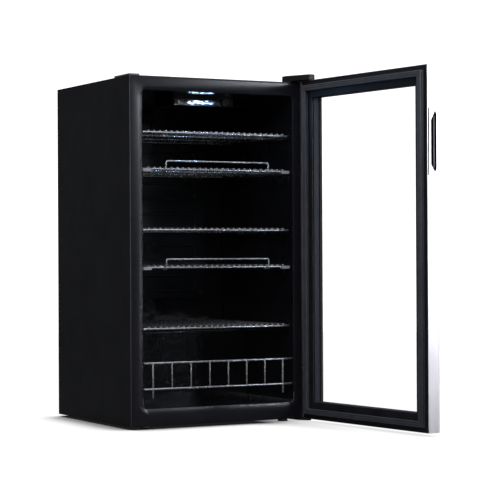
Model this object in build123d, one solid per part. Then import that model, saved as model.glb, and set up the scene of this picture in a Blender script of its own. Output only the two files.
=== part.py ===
from build123d import *
import os

# A counter-height beverage fridge with one glass door, standing open.
# Frame: millimetres, +X to the right seen from the front, +Y to the back, +Z up.
# The origin is on the floor under the centre of the cabinet's footprint.

# Cabinet
WIDTH = 480.0
DEPTH = 440.0
BASE_Z = 6.0
TOP_Z = 840.0
SHEET = 1.0
HEM = 2.6
HEM_DEPTH = 8.0
BEND_R = 1.5
PAN_PAD = (45.0, 1.0)
HALF_W = WIDTH / 2
FRONT_Y = -DEPTH / 2
REAR_Y = DEPTH / 2
PAN_T = 1.2
BACK_PANEL_Y = 197.0
SKIN_GAP = 0.1

# Front frame and opening
FRAME_T = 8.0
FRAME_X = 237.0
FRAME_Z = (7.0, 837.0)
BAND_X = 218.0
BAND_Z = (34.0, 816.0)
BAND_R = 26.0
OPEN_X = 206.0
OPEN_Z = (47.0, 806.0)
OPEN_R = 11.0
BEVEL_DEPTH = 2.5

# Liner and the hump over the compressor bay
LINER_T = 1.5
LINER_FRONT_Y = FRONT_Y + FRAME_T
LINER_BACK_Y = 168.0
HUMP_Y = 35.0
HUMP_Z = 225.0
HUMP_R = 10.0
BAY_Y = 59.5
BAY_Z = 200.5
LEDGE_X = 197.0
LEDGE_T = 6.0
RIB_T = 4.0
RIB_FRONT_Y = -60.0
LEDGE_Y = (-200.5, 156.0)

# Shelves
SHELF_Z = (707.0, 619.0, 473.5, 383.5, 237.0)
SHELF_X = 201.5
SHELF_Y = (-205.5, 150.0)
SHELF_WIRE_R = 2.5
GRID_WIRE_R = 1.6
GRID_COUNT = 25
GRID_PITCH = 15.3
CROSS_Y = (-80.0, 40.0)
CROSS_R = 2.0
SHELF_BEND_R = 8.0
WELD_SINK = 0.3
REST_GAP = 0.3
GUARD_X = 140.0
GUARD_Y = -210.3
GUARD_H = 19.8
GUARD_R = 2.0
GUARD_BEND_R = 5.0
GUARD_TAIL_Y = -190.0
CLIP_X = (179.0, 200.0)
CLIP_REACH = 4.5
CLIP_UP = 1.8
CLIP_DOWN = 5.1

# Bottle guard rail
RAIL_Y = -212.0
RAIL_Z = (93.8, 155.6)
RAIL_X = 205.8
RAIL_R = 2.5
RAIL_POST_R = 1.8
RAIL_PITCH = 50.8
RAIL_POSTS = 8
SOCKET_X = (201.5, 205.9)
SOCKET_R = 4.2
RAIL_TAIL = 22.0

# Door, drawn closed and then swung open about the hinge pins
DOOR_ANGLE = 95.7
DOOR_GAP = 10.7
DOOR_T = 32.5
DOOR_Z = (8.0, 842.5)
DOOR_IN_Y = FRONT_Y - DOOR_GAP
DOOR_OUT_Y = DOOR_IN_Y - DOOR_T
RAIL_W = 42.0
GLASS_EDGE = 34.5
LIP_T = 1.5
GLASS_T = 4.0
OUTER_GLASS_DEPTH = 20.0
SPACER_W = 7.5
TRIM_T = 1.0
MITRE_GAP = 0.1
PIVOT = (233.4, -240.3)
PIN_R = 4.0
PIN_CLEARANCE = 0.05
PIN_IN_DOOR = 20.0
BUSH_R = 5.2
BUSH_L = 24.0

# Gasket
GASKET_EDGE = (12.5, 26.5)
GASKET_H = 10.3
GASKET_BASE = (12.0, 25.0, 3.2)
GASKET_NECK = (14.0, 23.0, 4.4)
MAGNET = (15.0, 23.5)
MAGNET_H = (6.3, 8.5)

# Handle pocket in the door's free edge
PLATE_Z = (592.0, 744.0)
PLATE_DEPTH = (5.0, 32.4)
PLATE_T = 0.8
POCKET_SHORT = (10.0, 616.0, 716.0)
POCKET_TIP = (22.0, 598.0, 739.0)
POCKET_LONG = (26.5, 606.0, 731.0)
POCKET_DEEP = 22.0
CUP_WALL = 1.2

# Hinges
BRACKET_T = 3.0
BRACKET_X = 238.1
BRACKET_LIFT = 3.6
COVER_X = (194.0, 240.8)
COVER_Y = (-270.0, -186.0)
COVER_TOP_Z = 857.0
COVER_WALL = 1.5
PLATE_BACK_Y = -188.5
WASHER_R = 7.5

# Feet
FOOT_X = 188.0
FOOT_Y = -192.0
REAR_FOOT = (198.0, 188.0)
STUD_R = 4.0
STUD_TOP_Z = 30.0
SLEEVE_R = 9.0
PAD_R = 13.0
PAD_T = 2.6
COLLAR_R = 11.0

# Ceiling control box
BOX_X = (-80.0, 92.0)
BOX_Y = (-125.0, -15.0)
BOX_Z = (781.0, 805.9)
BOX_WALL = 2.0
LENS_X = (-42.0, 35.0)
LENS_Z = (785.6, 794.6)
LENS_DEPTH = 6.0
LAMP_COUNT = 6
KNOB_X = 64.0
KNOB_Z = 792.0
KNOB_R = 9.5
SHAFT_R = 3.0
SWITCH_X = (-75.0, -64.0)
SWITCH_PIVOT = (-121.5, 792.0)
SWITCH_PIVOT_R = 1.1

# Cooling plate
PLATE_X = 150.0
COLD_Z = (300.0, 740.0)
COLD_Y = (158.0, 159.5)
CHANNEL_R = 3.5
CHANNEL_PITCH = 40.0
CHANNEL_COUNT = 11

# Compressor bay
COMPRESSOR = (-95.0, 140.0)
POT_R = 62.0
CONDENSER_Y = 209.0
CONDENSER_X = 190.0
CONDENSER_Z0 = 260.0
CONDENSER_PITCH = 50.0
CONDENSER_PASSES = 11
TUBE_R = 2.5
FIN_R = 0.8
FIN_COUNT = 19
DRIER_X = 212.0
GLAND = (140.0, 24.0)
GLAND_BORE_R = 4.0


def span(x, y, z):
    """A box from pairs of limits along each axis."""
    size = [abs(b - a) for a, b in (x, y, z)]
    middle = [(a + b) / 2 for a, b in (x, y, z)]
    return Pos(*middle) * Box(*size)


def slab_xz(sketch, y0, y1):
    """A sketch drawn in x and z, made solid from y0 back to y1."""
    plane = Plane(origin=(0, y1, 0), x_dir=(1, 0, 0), z_dir=(0, -1, 0))
    return plane.location * extrude(sketch, y1 - y0)


def slab_yz(sketch, x0, x1):
    """A sketch drawn in y and z, made solid from x0 to x1."""
    plane = Plane(origin=(x0, 0, 0), x_dir=(0, 1, 0), z_dir=(1, 0, 0))
    return plane.location * extrude(sketch, x1 - x0)


def polygon(points):
    """A flat face inside a closed polygon."""
    return make_face(Polyline(*points, close=True))


def window(half_x, z, r=0.0):
    """A rectangle in x and z, with rounded corners if r is given."""
    height = z[1] - z[0]
    shape = RectangleRounded(2 * half_x, height, r) if r else Rectangle(2 * half_x, height)
    return Pos(0, (z[0] + z[1]) / 2) * shape


def rod(start, end, r):
    """A round rod between two points."""
    reach = Vector(*end) - Vector(*start)
    return extrude(Plane(origin=start, z_dir=reach) * Circle(r), reach.length)


def fine_rod(start, end, r):
    """A thin wire with an eight-sided section, flat side down."""
    reach = Vector(*end) - Vector(*start)
    side = Vector(1, 0, 0) if abs(reach.X) < reach.length / 2 else Vector(0, 1, 0)
    section = Rot(0, 0, 22.5) * RegularPolygon(r, 8)
    return extrude(Plane(origin=start, x_dir=side, z_dir=reach) * section, reach.length)


def bent_rod(points, bend, r):
    """A round wire or tube bent along a row of points."""
    path = FilletPolyline(*points, radius=bend)
    return sweep(Plane(origin=path @ 0, z_dir=path % 0) * Circle(r), path=path)


def disc(x, y, z0, z1, r):
    """An upright cylinder."""
    return Pos(x, y, z0) * extrude(Circle(r), z1 - z0)


def joined(shapes):
    """One solid from overlapping shapes."""
    shapes = list(shapes)
    return shapes[0].fuse(*shapes[1:])


def opened(shape):
    """Swing a piece of the closed door to its standing position."""
    return Pos(*PIVOT, 0) * Rot(0, 0, DOOR_ANGLE) * Pos(-PIVOT[0], -PIVOT[1], 0) * shape


def write(name, shape):
    """Write one piece, whatever its number of solids."""
    export_step(Compound(children=list(shape.solids())), f"parts/{name}.step")


# ---------------------------------------------------------------- cabinet


def outer_shell():
    """Sides and top folded from one sheet, with a hem round the front edge."""
    outside = span((-HALF_W, HALF_W), (FRONT_Y, REAR_Y), (BASE_Z, TOP_Z))
    top_edges = outside.edges().filter_by(Axis.Y).sort_by(Axis.Z)[-2:]
    outside = fillet(top_edges, BEND_R)
    hollow_x = HALF_W - SHEET
    hollow = span((-hollow_x, hollow_x), (FRONT_Y - 1, REAR_Y + 1), (BASE_Z - 1, TOP_Z - SHEET))
    hem_x = HALF_W - HEM
    hem_y = (FRONT_Y, FRONT_Y + HEM_DEPTH)
    hem = [span((s * hem_x, s * hollow_x), hem_y, (BASE_Z, TOP_Z - SHEET)) for s in (-1, 1)]
    hem.append(span((-hollow_x, hollow_x), hem_y, (TOP_Z - HEM, TOP_Z - SHEET)))
    return joined([outside - hollow, *hem])


def hump(grow):
    """The block over the compressor bay that stands into the lower rear of the cavity."""
    block = span(
        (-HALF_W, HALF_W),
        (HUMP_Y + grow, REAR_Y),
        (-10.0, HUMP_Z - grow),
    )
    edge = block.edges().filter_by(Axis.X).group_by(Axis.Y)[0].sort_by(Axis.Z)[-1]
    return fillet(edge, HUMP_R - grow)


def liner_envelope():
    """The liner's outer surface, filled."""
    t = LINER_T
    shape = window(OPEN_X + t, (OPEN_Z[0] - t, OPEN_Z[1] + t), OPEN_R + t)
    return slab_xz(shape, LINER_FRONT_Y, LINER_BACK_Y + t) - hump(t)


def drain_hole():
    """Way for the melt-water tube through hump, foam and bay ceiling."""
    return disc(*COMPRESSOR, BAY_Z - 4, HUMP_Z + 4, 6.1)


def liner():
    """Moulded liner with shelf ledges, anti-tip ribs and a flange behind the front frame."""
    cavity = slab_xz(window(OPEN_X, OPEN_Z, OPEN_R), LINER_FRONT_Y - 1, LINER_BACK_Y)
    body = liner_envelope() - (cavity - hump(0.0))
    flange = window(FRAME_X - 0.5, (FRAME_Z[0] + 1, FRAME_Z[1] - 1)) - window(
        OPEN_X + LINER_T / 2, (OPEN_Z[0] - 1, OPEN_Z[1] + 1), OPEN_R
    )
    pieces = [body, slab_xz(flange, LINER_FRONT_Y, LINER_FRONT_Y + LINER_T)]
    for z in SHELF_Z:
        under = z - SHELF_WIRE_R - REST_GAP
        over = z + SHELF_WIRE_R + 2 * REST_GAP
        for s in (-1, 1):
            x = (s * LEDGE_X, s * (OPEN_X + LINER_T / 2))
            pieces.append(span(x, LEDGE_Y, (under - LEDGE_T, under)))
            pieces.append(span(x, (RIB_FRONT_Y, LEDGE_Y[1]), (over, over + RIB_T)))
    return joined(pieces) - drain_hole()


def front_frame():
    """Flat sealing band that bevels back to the opening."""
    ring = window(FRAME_X, FRAME_Z) - window(OPEN_X, OPEN_Z, OPEN_R)
    body = slab_xz(ring, FRONT_Y, LINER_FRONT_Y)
    wide = Plane(origin=(0, FRONT_Y, 0), x_dir=(1, 0, 0), z_dir=(0, -1, 0))
    narrow = Plane(origin=(0, FRONT_Y + BEVEL_DEPTH, 0), x_dir=(1, 0, 0), z_dir=(0, -1, 0))
    bevel = loft([wide * window(BAND_X, BAND_Z, BAND_R), narrow * window(OPEN_X, OPEN_Z, OPEN_R)])
    return body - bevel


def foam():
    """Insulation that fills the space between the sheets and the liner."""
    inside = HALF_W - SHEET - SKIN_GAP
    y = (LINER_FRONT_Y + LINER_T + SKIN_GAP, BACK_PANEL_Y - SKIN_GAP)
    block = span((-inside, inside), y, (BASE_Z + PAN_T + SKIN_GAP, TOP_Z - SHEET - SKIN_GAP))
    bay = span((-HALF_W, HALF_W), (BAY_Y - SKIN_GAP, REAR_Y), (0, BAY_Z + SKIN_GAP))
    block = block - liner_envelope() - bay - drain_hole()
    for s in (-1, 1):
        block = block - disc(s * FOOT_X, FOOT_Y, 0, STUD_TOP_Z + 4, SLEEVE_R + SKIN_GAP)
    return block


def base_pan():
    """Steel floor with a pressed centre pad and a turned-up rear edge that carries the gland."""
    inside = HALF_W - SHEET - SKIN_GAP
    front = FRONT_Y + HEM_DEPTH + SKIN_GAP
    pan = span((-inside, inside), (front, REAR_Y - 1), (BASE_Z, BASE_Z + PAN_T))
    rear = (REAR_Y - 1 - PAN_T, REAR_Y - 1)
    gland_x, gland_z = GLAND
    lip = span((-inside, inside), rear, (BASE_Z, BASE_Z + 14))
    tab = span((gland_x - 20, gland_x + 20), rear, (BASE_Z, gland_z + 14))
    pad_r, pad_drop = PAN_PAD
    pan = joined([pan, lip, tab, disc(0, 0, BASE_Z - pad_drop, BASE_Z + PAN_T, pad_r)])
    pan = pan - rod((gland_x, rear[0] - 2, gland_z), (gland_x, rear[1] + 2, gland_z), 7.05)
    for s in (-1, 1):
        pan = pan - disc(s * FOOT_X, FOOT_Y, 0, 20, SLEEVE_R + SKIN_GAP)
    return pan


def bay_panel():
    """Front wall and ceiling of the compressor bay, one folded sheet."""
    inside = HALF_W - SHEET - SKIN_GAP
    wall = span((-inside, inside), (BAY_Y, BAY_Y + SHEET), (BASE_Z + PAN_T, BAY_Z))
    roof = span((-inside, inside), (BAY_Y, BACK_PANEL_Y), (BAY_Z - SHEET, BAY_Z))
    return joined([wall, roof]) - drain_hole()


def back_panel():
    """Rear sheet over the foam."""
    inside = HALF_W - SHEET - SKIN_GAP
    z = (BAY_Z - SHEET, TOP_Z - SHEET - SKIN_GAP)
    return span((-inside, inside), (BACK_PANEL_Y, BACK_PANEL_Y + SHEET), z)


def hinge_hole_cap():
    """Thin cap over the unused hinge holes at the top left."""
    cap = span((-HALF_W, -212.0), (FRONT_Y + 1, FRONT_Y + 88), (TOP_Z, TOP_Z + 4))
    cap = fillet(cap.edges().filter_by(Axis.Z), 3)
    return chamfer(cap.faces().sort_by(Axis.Z)[-1].edges(), 0.8)


def bottle_guard():
    """Two rails and eight upright wires across the lower compartment."""
    pieces = [rod((-RAIL_X, RAIL_Y, z), (RAIL_X, RAIL_Y, z), RAIL_R) for z in RAIL_Z]
    for i in range(RAIL_POSTS):
        x = (i - (RAIL_POSTS - 1) / 2) * RAIL_PITCH
        end_post = i in (0, RAIL_POSTS - 1)
        tail = RAIL_TAIL if end_post else 0.0
        r = RAIL_R if end_post else RAIL_POST_R
        pieces.append(rod((x, RAIL_Y, RAIL_Z[0] - tail), (x, RAIL_Y, RAIL_Z[1]), r))
    return joined(pieces)


def guard_sockets():
    """Four plastic sockets on the side walls that hold the rail ends."""
    pieces = []
    for s in (-1, 1):
        for z in RAIL_Z:
            ends = [(s * x, RAIL_Y, z) for x in SOCKET_X]
            hole = [(s * x, RAIL_Y, z) for x in (SOCKET_X[0] - 1, SOCKET_X[1] + 1)]
            pieces.append(rod(*ends, SOCKET_R) - rod(*hole, RAIL_R + 0.05))
    return Compound(children=pieces)


# ---------------------------------------------------------------- hinges


def hinge_bracket_top():
    """Top hinge plate, stepped up over the door, with a round end and its pin."""
    y = PLATE_BACK_Y
    body = polygon([(200, y), (237, y), (237, FRONT_Y - 6), (215, FRONT_Y - 6)])
    arm = polygon([(216, FRONT_Y - 5), (237, FRONT_Y - 5), (239.4, PIVOT[1]), (227, PIVOT[1] - 3)])
    clear = Pos(BRACKET_X / 2, 0) * Rectangle(BRACKET_X, 900)
    plan = (body + arm + Pos(*PIVOT) * Circle(WASHER_R)) & clear
    arm_z = TOP_Z + BRACKET_LIFT
    plate = Pos(0, 0, arm_z) * extrude(plan, BRACKET_T)
    foot = span((200, 237), (FRONT_Y + 2, y), (TOP_Z, arm_z + 1))
    foot = foot & (Pos(0, 0, TOP_Z) * extrude(plan, BRACKET_LIFT + 1))
    pin = disc(*PIVOT, DOOR_Z[1] - PIN_IN_DOOR, arm_z + 1, PIN_R)
    return joined([plate, foot, pin])


def hinge_cover():
    """Moulded cover over the top hinge plate, open below."""
    def plan(inset):
        x0, x1 = COVER_X[0] + inset, COVER_X[1] - inset
        y0, y1 = COVER_Y[0] + inset, COVER_Y[1] - inset
        front = [(x1, y0 + 3), (236 - 0.4 * inset, y0), (223 + 0.6 * inset, y0)]
        return polygon([(x0, y1), (x1, y1), *front, (x0, -205 + 0.4 * inset)])

    shell = Pos(0, 0, TOP_Z) * extrude(plan(0), COVER_TOP_Z - TOP_Z)
    shell = chamfer(shell.faces().sort_by(Axis.Z)[-1].edges(), 1.0)
    shell = shell - Pos(0, 0, TOP_Z - 1) * extrude(plan(COVER_WALL), COVER_TOP_Z - TOP_Z + 1 - COVER_WALL)
    over_door = span((180, 260), (-300, FRONT_Y), (TOP_Z - 1, TOP_Z + BRACKET_LIFT - 0.4))
    return shell - over_door


def hinge_bracket_bottom():
    """Bottom hinge plate under the cabinet, with its pin and washer."""
    z0 = BASE_Z - BRACKET_T
    body = polygon([(207, -150), (237, -150), (237, FRONT_Y - 6), (214, FRONT_Y - 6)])
    arm = polygon([(215, FRONT_Y - 5), (237, FRONT_Y - 5), (239.4, PIVOT[1]), (226, PIVOT[1] - 3)])
    plan = body + arm + Pos(*PIVOT) * Circle(WASHER_R)
    plate = Pos(0, 0, z0) * extrude(plan, BRACKET_T)
    pin = disc(*PIVOT, z0 + 1, DOOR_Z[0] + PIN_IN_DOOR, PIN_R)
    washer = disc(*PIVOT, BASE_Z - 1, DOOR_Z[0] - 0.5, WASHER_R - 1)
    return joined([plate, pin, washer])


def screw(at, axis, r=4.0, head=2.0):
    """A pan-head screw seen as its head, with a cross recess."""
    head_solid = extrude(Circle(r), head)
    head_solid = chamfer(head_solid.faces().sort_by(Axis.Z)[-1].edges(), 0.7)
    for turn in (0, 90):
        head_solid = head_solid - Pos(0, 0, head) * Rot(0, 0, turn) * Box(1.3 * r, 0.9, 1.6)
    return Plane(origin=at, z_dir=axis).location * head_solid


def screws():
    """Top hinge screws and the rear sheet's screws."""
    plate_top = TOP_Z + BRACKET_LIFT + BRACKET_T
    found = [screw((x, y, plate_top), (0, 0, 1)) for x, y in ((209, -197), (229, -197), (225, -214))]
    back = BACK_PANEL_Y + SHEET
    for x in (-226, 226):
        for z in (216, 520, 826):
            found.append(screw((x, back, z), (0, 1, 0)))
    return Compound(children=found)


# ---------------------------------------------------------------- inside


def evaporator():
    """Cooling plate with one long pressed channel."""
    plate = span((-PLATE_X, PLATE_X), COLD_Y, COLD_Z)
    plate = fillet(plate.edges().filter_by(Axis.Y), 10)
    y = COLD_Y[0]
    x = PLATE_X - 25
    points = []
    for i in range(CHANNEL_COUNT):
        z = COLD_Z[0] + 20 + i * CHANNEL_PITCH
        side = 1 if i % 2 else -1
        points += [(side * x, y, z), (-side * x, y, z)]
    return joined([plate, bent_rod(points, CHANNEL_PITCH * 0.4, CHANNEL_R)])


def evaporator_standoffs():
    """Posts that hold the cooling plate off the rear wall, with screw heads in front."""
    found = []
    for s in (-1, 1):
        for z in (COLD_Z[0] + 14, COLD_Z[1] - 8):
            x = s * (PLATE_X - 9)
            found.append(rod((x, COLD_Y[1], z), (x, LINER_BACK_Y, z), 5))
            found.append(screw((x, COLD_Y[0], z), (0, -1, 0), 3.5, 1.6))
    return Compound(children=found)


def control_box():
    """Hollow housing under the ceiling, open where the lens, knob and switch fit."""
    body = span(BOX_X, BOX_Y, BOX_Z)
    body = fillet(body.edges().filter_by(Axis.Z), 6)
    body = chamfer(body.faces().sort_by(Axis.Z)[0].edges(), 1.0)
    inner = [(low + BOX_WALL, high - BOX_WALL) for low, high in (BOX_X, BOX_Y, BOX_Z)]
    through_front = (BOX_Y[0] - 1, BOX_Y[0] + BOX_WALL + 1)
    body = body - span(*inner)
    body = body - span(LENS_X, through_front, LENS_Z)
    body = body - span(SWITCH_X, through_front, (784.5, 799.5))
    shaft = [(KNOB_X, y, KNOB_Z) for y in through_front]
    return body - rod(*shaft, SHAFT_R + 0.5)


def lamp_lens():
    """Milky strip let into the front of the housing, hollow behind."""
    x = (LENS_X[0] + SKIN_GAP, LENS_X[1] - SKIN_GAP)
    y = (BOX_Y[0] - 1.5, BOX_Y[0] + LENS_DEPTH)
    z = (LENS_Z[0] + SKIN_GAP, LENS_Z[1] - SKIN_GAP)
    lens = span(x, y, z)
    lens = fillet(lens.edges().filter_by(Axis.X).sort_by(Axis.Y)[0:2], 1.4)
    w = 1.6
    return lens - span((x[0] + w, x[1] - w), (y[0] + w, y[1] + 1), (z[0] + w, z[1] - w))


def led_board():
    """Upright circuit board with a row of lamps behind the lens."""
    y = BOX_Y[0] + LENS_DEPTH + 2.5
    board = span((LENS_X[0] + 2, LENS_X[1] - 2), (y, y + 1.6), (BOX_Z[0] + BOX_WALL, LENS_Z[1] + 2.5))
    pieces = [board]
    pitch = (LENS_X[1] - LENS_X[0] - 16) / (LAMP_COUNT - 1)
    z = (LENS_Z[0] + LENS_Z[1]) / 2
    for i in range(LAMP_COUNT):
        x = LENS_X[0] + 8 + i * pitch
        pieces.append(span((x - 2.5, x + 2.5), (y - 1.8, y + 0.1), (z - 2.5, z + 2.5)))
    return joined(pieces)


def thermostat():
    """Thermostat body behind the knob, bored for the knob's shaft."""
    y = (BOX_Y[0] + 2.1, BOX_Y[0] + 40)
    body = span((KNOB_X - 17, KNOB_X + 17), y, (BOX_Z[0] + 2.1, BOX_Z[1] - 2.1))
    bore = SHAFT_R + PIN_CLEARANCE
    return body - rod((KNOB_X, y[0] - 1, KNOB_Z), (KNOB_X, y[0] + 16, KNOB_Z), bore)


def thermostat_knob():
    """Ribbed knob with a pointer ridge and its shaft."""
    front = BOX_Y[0] - 0.4
    knob = rod((KNOB_X, front, KNOB_Z), (KNOB_X, front - 9, KNOB_Z), KNOB_R)
    knob = chamfer(knob.faces().sort_by(Axis.Y)[0].edges(), 1.2)
    for i in range(16):
        cut = Rot(0, 22.5 * i, 0) * Pos(KNOB_R + 0.3, 0, 0) * Rot(90, 0, 0) * Cylinder(0.8, 14)
        knob = knob - Pos(KNOB_X, front - 9, KNOB_Z) * cut
    ridge = span((KNOB_X - 1, KNOB_X + 1), (front - 10.2, front - 8.5), (KNOB_Z, KNOB_Z + 7.5))
    shaft = rod((KNOB_X, front - 1, KNOB_Z), (KNOB_X, front + 16, KNOB_Z), SHAFT_R)
    return joined([knob, ridge, shaft])


def lamp_switch():
    """Rocker with a raised upper half and its pivot stub."""
    x = (SWITCH_X[0] + 0.5, SWITCH_X[1] - 0.5)
    y = BOX_Y[0]
    side = polygon([
        (y + 5, 787.5), (y - 0.8, 785.8), (y - 1.4, 792), (y - 2.8, 798.2), (y + 5, 796.5),
    ])
    pivot_y, pivot_z = SWITCH_PIVOT
    stub = rod((x[0] - 2, pivot_y, pivot_z), (x[1] + 2, pivot_y, pivot_z), SWITCH_PIVOT_R)
    return joined([slab_yz(side, *x), stub])


# ---------------------------------------------------------------- machinery


def drain_tube():
    """Melt-water tube from the hump down to the tray, with a collar in the cavity."""
    x, y = COMPRESSOR
    tube = disc(x, y, 184, HUMP_Z + 0.5, 6.0)
    collar = disc(x, y, HUMP_Z, HUMP_Z + 1.2, 9.0)
    return joined([tube, collar]) - disc(x, y, 180, 240, 4.6)


def drip_tray():
    """Shallow tray on top of the compressor."""
    x, y = COMPRESSOR
    wide = (x - 55, x + 55)
    tray = span(wide, (y - 45, y + 45), (158, 179))
    tray = fillet(tray.edges().filter_by(Axis.Z), 10)
    hollow = span((wide[0] + 1.6, wide[1] - 1.6), (y - 43.4, y + 43.4), (160, 190))
    return tray - fillet(hollow.edges().filter_by(Axis.Z), 8.4)


def compressor():
    """Welded pot with a seam flange, a mounting plate and two stubs."""
    x, y = COMPRESSOR
    half = Polyline(
        (0, 24), (38, 24), (55, 32), (POT_R, 48), (POT_R, 82), (POT_R + 3, 82), (POT_R + 3, 86),
        (POT_R, 86), (POT_R, 122), (56, 140), (36, 152), (0, 157), (0, 24),
    )
    pot = Pos(x, y, 0) * revolve(Plane.XZ * make_face(half), Axis.Z)
    plate = span((x - 80, x + 80), (y - 45, y + 45), (19, 24.5))
    plate = fillet(plate.edges().filter_by(Axis.Z), 12)
    for sx in (-1, 1):
        for sy in (-1, 1):
            plate = plate - disc(x + sx * 68, y + sy * 32, 10, 30, 6.05)
    return joined([pot, plate])


def compressor_mounts():
    """Rubber mounts with their bolts and washers."""
    x, y = COMPRESSOR
    found = []
    low = BASE_Z + PAN_T
    for sx in (-1, 1):
        for sy in (-1, 1):
            at = (x + sx * 68, y + sy * 32)
            parts = [disc(*at, low, 19, 10), disc(*at, 18, 27, 6), disc(*at, 26, 28.5, 9)]
            parts.append(disc(*at, 28, 33, 5))
            found.append(joined(parts))
    return Compound(children=found)


def relay_box():
    """Starter and terminal cover on the compressor's side."""
    x, y = COMPRESSOR
    box = span((x + POT_R + 3.2, x + POT_R + 28), (y - 24, y + 24), (66, 120))
    box = fillet(box.edges().filter_by(Axis.X), 5)
    neck = span((x + POT_R - 1, x + POT_R + 4), (y - 10, y + 10), (92, 112))
    pot = disc(x, y, 40, 124, POT_R + 0.1)
    return joined([box, neck]) - pot


def condenser():
    """Serpentine tube behind the back sheet with upright wires welded across it."""
    y = CONDENSER_Y
    points = [(-CONDENSER_X, y, CONDENSER_Z0 - 30)]
    for i in range(CONDENSER_PASSES):
        z = CONDENSER_Z0 + i * CONDENSER_PITCH
        side = -1 if i % 2 == 0 else 1
        points += [(side * CONDENSER_X, y, z), (-side * CONDENSER_X, y, z)]
    points[-1] = (DRIER_X, y, points[-1][2])
    points.append((DRIER_X, y, 152))
    pieces = [bent_rod(points, 15, TUBE_R)]
    top = CONDENSER_Z0 + (CONDENSER_PASSES - 1) * CONDENSER_PITCH
    for i in range(FIN_COUNT):
        x = (i - (FIN_COUNT - 1) / 2) * 18.0
        fin_y = y + TUBE_R + FIN_R - WELD_SINK
        pieces.append(fine_rod((x, fin_y, CONDENSER_Z0 - 8), (x, fin_y, top + 8), FIN_R))
    return joined(pieces)


def condenser_clips():
    """Blocks that hold the coil off the back sheet."""
    found = []
    tube_y = CONDENSER_Y
    for x in (-150, 150):
        for i in (0, 5, 10):
            z = CONDENSER_Z0 + i * CONDENSER_PITCH
            block = span((x - 5, x + 5), (BACK_PANEL_Y + SHEET, tube_y + 1), (z - 6, z + 6))
            hole = rod((x - 7, tube_y, z), (x + 7, tube_y, z), TUBE_R + 0.05)
            found.append(block - hole)
    return Compound(children=found)


def filter_drier():
    """Copper drier at the end of the coil."""
    half = Polyline((0, 62), (3, 62), (9, 72), (9, 138), (3, 151.9), (0, 151.9), (0, 62))
    return Pos(DRIER_X, CONDENSER_Y, 0) * revolve(Plane.XZ * make_face(half), Axis.Z)


def refrigerant_lines():
    """Discharge line, suction line and capillary tube."""
    x, y = COMPRESSOR
    coil = (-CONDENSER_X, CONDENSER_Y)
    discharge = bent_rod(
        [(x - 10, 198, 110), (x - 10, CONDENSER_Y, 110), (coil[0], coil[1], 110), (*coil, 229.9)],
        7,
        TUBE_R,
    )
    suction = bent_rod([(100, 100, 199.4), (100, 100, 60), (x + 50, 100, 60)], 16, 3.5)
    low = DRIER_X, CONDENSER_Y
    capillary = bent_rod(
        [(*low, 61.9), (*low, 36), (170, low[1], 36), (170, 120, 36), (170, 120, 199.4)],
        8,
        1.2,
    )
    pot = disc(x, y, 20, 140, POT_R)
    return Compound(children=[piece - pot for piece in (discharge, suction, capillary)])


def cable_gland():
    """Cord inlet in the rear edge of the base pan."""
    x, z = GLAND
    y = REAR_Y - 1
    neck = rod((x, y - PAN_T, z), (x, y + 1, z), 7.0)
    inner = rod((x, y - PAN_T - 12, z), (x, y - PAN_T, z), 10.0)
    outer = rod((x, y, z), (x, y + 0.9, z), 10.0)
    bore = rod((x, y - 20, z), (x, y + 4, z), GLAND_BORE_R)
    return joined([neck, inner, outer]) - bore


def rear_feet():
    """Fixed rubber feet under the rear corners."""
    feet = [disc(s * REAR_FOOT[0], REAR_FOOT[1], 0, BASE_Z, PAD_R) for s in (-1, 1)]
    return Compound(children=[chamfer(f.faces().sort_by(Axis.Z)[0].edges(), 0.8) for f in feet])


def foot_sleeves():
    """Threaded inserts for the front feet."""
    found = []
    for s in (-1, 1):
        at = (s * FOOT_X, FOOT_Y)
        sleeve = disc(*at, BASE_Z, STUD_TOP_Z + 4, SLEEVE_R)
        found.append(sleeve - disc(*at, BASE_Z - 1, STUD_TOP_Z + 1, STUD_R + PIN_CLEARANCE))
    return Compound(children=found)


def foot_stud(side):
    """Levelling screw: knurled collar below, stud above, ball tip in the pad."""
    at = (side * FOOT_X, FOOT_Y)
    collar = disc(*at, PAD_T + 0.3, BASE_Z - 0.3, COLLAR_R)
    for i in range(12):
        collar = collar - Pos(*at, 4) * Rot(0, 0, 30 * i) * Pos(COLLAR_R + 0.6, 0, 0) * Cylinder(1.6, 10)
    stud = disc(*at, PAD_T, STUD_TOP_Z, STUD_R)
    tip = disc(*at, 1.3, PAD_T + 1, 2.5)
    return joined([collar, stud - disc(*at, 0, PAD_T + 0.3, 20), tip])


def foot_pad(side):
    """Rubber pad that stays still while the screw turns in it."""
    at = (side * FOOT_X, FOOT_Y)
    pad = disc(*at, 0, PAD_T, PAD_R)
    pad = chamfer(pad.edges().group_by(Axis.Z)[-1], 0.6)
    return pad - disc(*at, 1.0, PAD_T + 1, 2.5 + PIN_CLEARANCE)


# ---------------------------------------------------------------- shelves


def frame_wire(z, r):
    """The heavy wire loop round a shelf: four straight lengths and four bends."""
    (y0, y1), x = SHELF_Y, SHELF_X
    b = SHELF_BEND_R
    pieces = [
        rod((-x + b, y0, z), (x - b, y0, z), r),
        rod((-x + b, y1, z), (x - b, y1, z), r),
        rod((-x, y0 + b, z), (-x, y1 - b, z), r),
        rod((x, y0 + b, z), (x, y1 - b, z), r),
    ]
    bend = Pos(b, 0, 0) * Rot(90, 0, 0) * Circle(r)
    quarter = revolve(bend, Axis.Z, 90)
    corners = ((x - b, y1 - b, 0), (-x + b, y1 - b, 90), (-x + b, y0 + b, 180), (x - b, y0 + b, 270))
    for cx, cy, turn in corners:
        pieces.append(Pos(cx, cy, z) * Rot(0, 0, turn) * quarter)
    return pieces


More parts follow.
